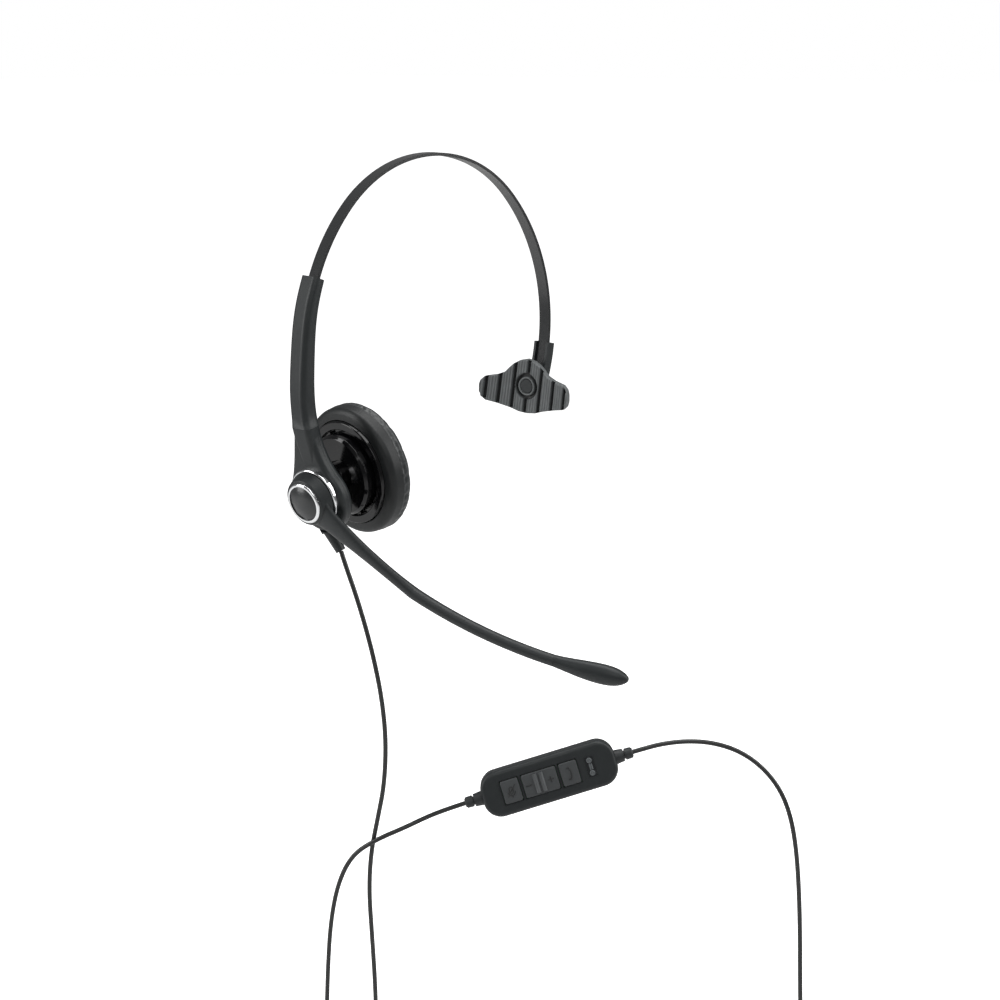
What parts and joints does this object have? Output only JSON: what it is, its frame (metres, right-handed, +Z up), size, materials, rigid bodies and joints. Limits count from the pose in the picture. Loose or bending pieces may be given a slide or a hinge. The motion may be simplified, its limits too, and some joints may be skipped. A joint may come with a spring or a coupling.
{
  "type": "office headset",
  "caption": "Monaural office headset: spring headband with a temple pad, a swivelling ear cup, a boom microphone and an in-line key pad on a corded USB plug.",
  "frame": {"origin": "centre of the ear cushion's contact face, where it rests on the wearer's ear", "axes": "+Z up, +X from the ear cushion across to the temple pad, -Y the way the wearer faces and the boom points"},
  "size_m": [0.1591, 0.2339, 0.5145],
  "materials": {
    "housing": "fine satin moulded",
    "satin_ring": "smooth matte",
    "gloss_shell": "polished",
    "hub_cap": "polished",
    "chrome_trim": "polished plating",
    "band_metal": "smooth satin black coating",
    "pad_rubber": "ribbed, matte",
    "leatherette": "soft, lightly wrinkled",
    "cloth": "fine knit",
    "soft_sleeve": "matte",
    "steel": "bright",
    "slip_plastic": "natural acetal",
    "film": "thin film",
    "cord_jacket": "smooth jacket",
    "tie": "smooth",
    "board": "solder mask",
    "window": "tinted, glossy",
    "key_rubber": "smooth satin",
    "contact_metal": "gold plated"
  },
  "bodies": {
    "arm": {"arm_outer_shell": "housing", "arm_inner_cover": "housing", "cover_screws": "steel", "hub_trim_ring": "chrome_trim", "friction_washer": "slip_plastic", "boom_axle": "steel", "axle_washer": "steel", "axle_screw": "steel", "arm_sleeve": "housing", "sleeve_detent_spring": "steel", "ball_stud": "steel", "arm_strain_relief": "soft_sleeve", "headset_cord_down": "cord_jacket", "headset_cord_up": "cord_jacket", "plug_cord_down": "cord_jacket", "plug_cord_end": "cord_jacket", "headset_cord_coil": "cord_jacket", "plug_cord_coil": "cord_jacket", "headset_coil_tie": "tie", "plug_coil_tie": "tie", "control_gland_in": "soft_sleeve", "control_gland_out": "soft_sleeve", "control_top_shell": "housing", "control_bottom_shell": "housing", "control_screws": "steel", "control_board": "board", "dome_switches": "steel", "status_window": "window", "clip_pin": "steel", "plug_strain_relief": "soft_sleeve", "plug_overmould": "housing", "plug_contact_shell": "steel", "plug_tongue": "slip_plastic", "plug_contacts": "contact_metal"},
    "headband": {"headband": "band_metal", "temple_pad_holder": "housing", "temple_pin": "housing", "temple_washer": "slip_plastic"},
    "temple_pad": {"temple_pad": "pad_rubber"},
    "swivel_liner": {"ball_liner": "slip_plastic"},
    "ear_cup": {"cup_back_shell": "gloss_shell", "cushion_ring": "satin_ring", "baffle": "housing", "driver_frame": "steel", "driver_magnet": "steel", "driver_cone": "film", "speaker_cloth": "cloth", "ear_cushion": "leatherette"},
    "boom": {"boom_hub": "housing", "hub_front_ring": "chrome_trim", "hub_cap": "hub_cap", "boom_neck": "soft_sleeve", "boom_core_wire": "steel", "mic_inner_shell": "housing", "mic_outer_shell": "housing", "mic_element": "steel"},
    "mute_key": {"mute_key": "key_rubber"},
    "volume_rocker": {"volume_rocker": "key_rubber"},
    "call_key": {"call_key": "key_rubber"},
    "garment_clip": {"garment_clip": "housing"}
  },
  "joints": [
    {"name": "headband_adjust", "type": "hinge", "parent": "arm", "child": "headband", "pos_m": [0.05544, -0.01435, 0.0589], "axis": [0.1754, 0.9845, 0], "range_deg": [-7, 7]},
    {"name": "pad_swivel", "type": "hinge", "parent": "headband", "child": "temple_pad", "pos_m": [0.09532, -0.02145, 0.0261], "axis": [0.9977, 0.068, 0], "range_deg": [-15, 15]},
    {"name": "cup_swivel", "type": "hinge", "parent": "arm", "child": "swivel_liner", "pos_m": [-0.01925, 0.00185, -0.00251], "axis": [-0.1282, 0.0123, 0.9917], "range_deg": [-12, 12]},
    {"name": "cup_tilt", "type": "hinge", "parent": "swivel_liner", "child": "ear_cup", "pos_m": [-0.01925, 0.00185, -0.00251], "axis": [0.0958, 0.9954, 0], "range_deg": [-10, 10]},
    {"name": "boom_turn", "type": "hinge", "parent": "arm", "child": "boom", "pos_m": [-0.0453, -0.0007, -0.0104], "axis": [0.9789, 0, 0.2045], "range_deg": [-245, 25]},
    {"name": "mute_press", "type": "slide", "parent": "arm", "child": "mute_key", "axis": [0.7549, 0.6048, -0.2538], "range_m": [0, 0.0006], "stiffness_N_per_m": 2500},
    {"name": "call_press", "type": "slide", "parent": "arm", "child": "call_key", "axis": [0.7549, 0.6048, -0.2538], "range_m": [0, 0.0006], "stiffness_N_per_m": 2500},
    {"name": "volume_rock", "type": "hinge", "parent": "arm", "child": "volume_rocker", "pos_m": [0.0259, -0.08506, -0.14993], "axis": [0.0066, 0.3799, 0.925], "range_deg": [-3, 3], "stiffness_Nm_per_rad": 0.2},
    {"name": "clip_open", "type": "hinge", "parent": "arm", "child": "garment_clip", "pos_m": [0.04586, -0.08916, -0.14839], "axis": [-0.0066, -0.3799, -0.925], "range_deg": [0, 15], "stiffness_Nm_per_rad": 0.35, "springref_deg": -5.73}
  ]
}
